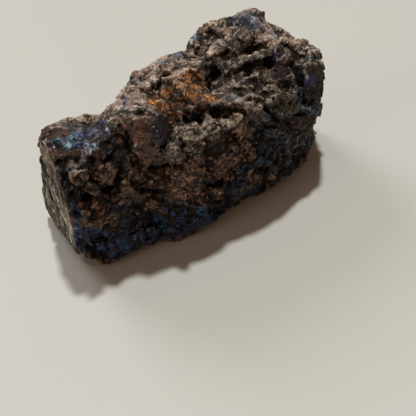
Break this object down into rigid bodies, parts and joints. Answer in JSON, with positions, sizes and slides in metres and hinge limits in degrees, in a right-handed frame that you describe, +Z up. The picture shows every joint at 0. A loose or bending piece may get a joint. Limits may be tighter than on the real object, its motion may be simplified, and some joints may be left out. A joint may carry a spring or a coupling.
{
  "type": "peacock ore bornite specimen",
  "caption": "Rough block-shaped lump of tarnished bornite with ledges, pits and a pale rind on one end, resting on a flat spot.",
  "frame": {"origin": "bottom centre of the lump's box, on the surface it rests on", "axes": "+X along the lump's length from the rind-covered left end to the right end, +Y from the front face to the back, +Z up"},
  "size_m": [0.0964, 0.0406, 0.0468],
  "materials": {
    "bornite": "satin"
  },
  "bodies": {
    "root": {"peacock_ore": "bornite"}
  },
  "joints": []
}
